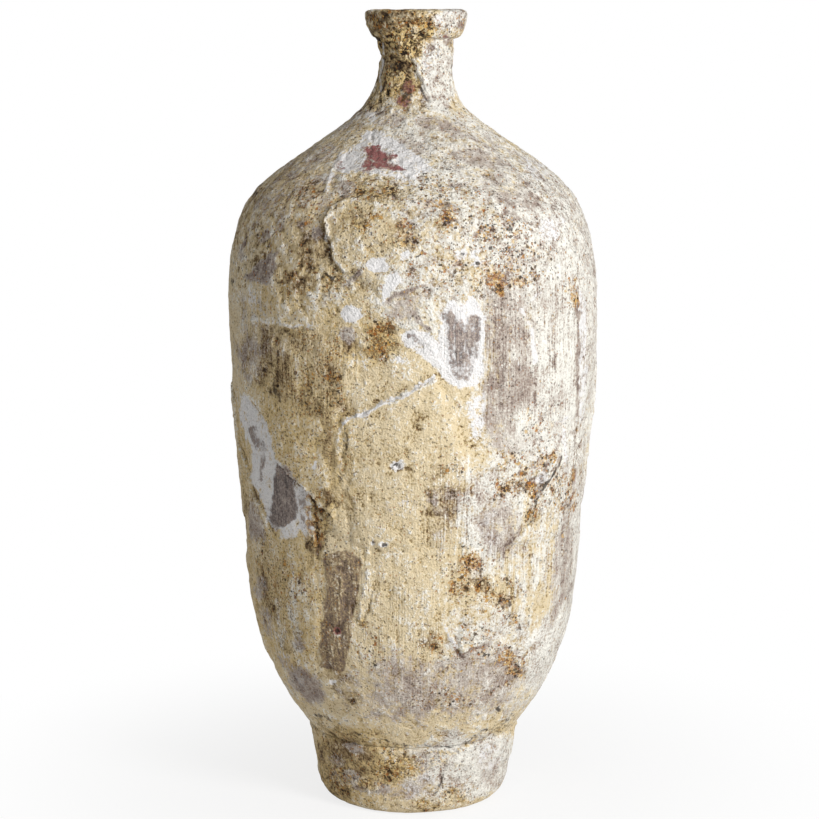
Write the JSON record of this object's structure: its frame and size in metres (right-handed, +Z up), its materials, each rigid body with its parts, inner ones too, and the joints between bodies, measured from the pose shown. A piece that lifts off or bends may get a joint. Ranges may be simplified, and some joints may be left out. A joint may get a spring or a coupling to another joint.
{
  "type": "clay water bottle",
  "caption": "Tall clay water bottle with a separate foot, a full belly, a sloping shoulder, a narrow neck and a flared lip, covered in worn slabs of trowelled lime coat.",
  "frame": {"origin": "middle of the face that the bottle stands on", "axes": "+Z up along the bottle's axis, -Y towards the side that the picture shows, +X to the right of it"},
  "size_m": [0.195, 0.1964, 0.42],
  "materials": {
    "bare_clay": "matte, unglazed, mauve-brown",
    "lime_coat": "matte cream lime plaster, trowelled and worn",
    "ochre_crust": "matte ochre grit"
  },
  "bodies": {
    "root": {"foot_ring": "bare_clay", "base_disc": "bare_clay", "lower_ring": "bare_clay", "middle_ring": "bare_clay", "shoulder_ring": "bare_clay", "neck_tube": "bare_clay", "lip_collar": "bare_clay", "crust_under_lip": "ochre_crust", "coat_foot_left": "lime_coat", "coat_foot_right": "lime_coat", "coat_foot_back": "lime_coat", "coat_hip_left": "lime_coat", "coat_hip_front": "lime_coat", "coat_hip_wedge": "lime_coat", "coat_hip_right": "lime_coat", "coat_hip_back_right": "lime_coat", "coat_hip_back": "lime_coat", "coat_hip_back_left": "lime_coat", "coat_belly_front": "lime_coat", "coat_belly_left": "lime_coat", "coat_belly_far_left": "lime_coat", "coat_belly_right": "lime_coat", "coat_belly_right_low": "lime_coat", "coat_belly_back_right": "lime_coat", "coat_belly_back": "lime_coat", "coat_belly_back_left": "lime_coat", "coat_shoulder_front": "lime_coat", "coat_shoulder_left": "lime_coat", "coat_shoulder_right": "lime_coat", "coat_shoulder_top": "lime_coat", "coat_shoulder_back_right": "lime_coat", "coat_shoulder_back_left": "lime_coat", "coat_shoulder_back_top": "lime_coat", "coat_neck_right": "lime_coat"}
  },
  "joints": []
}
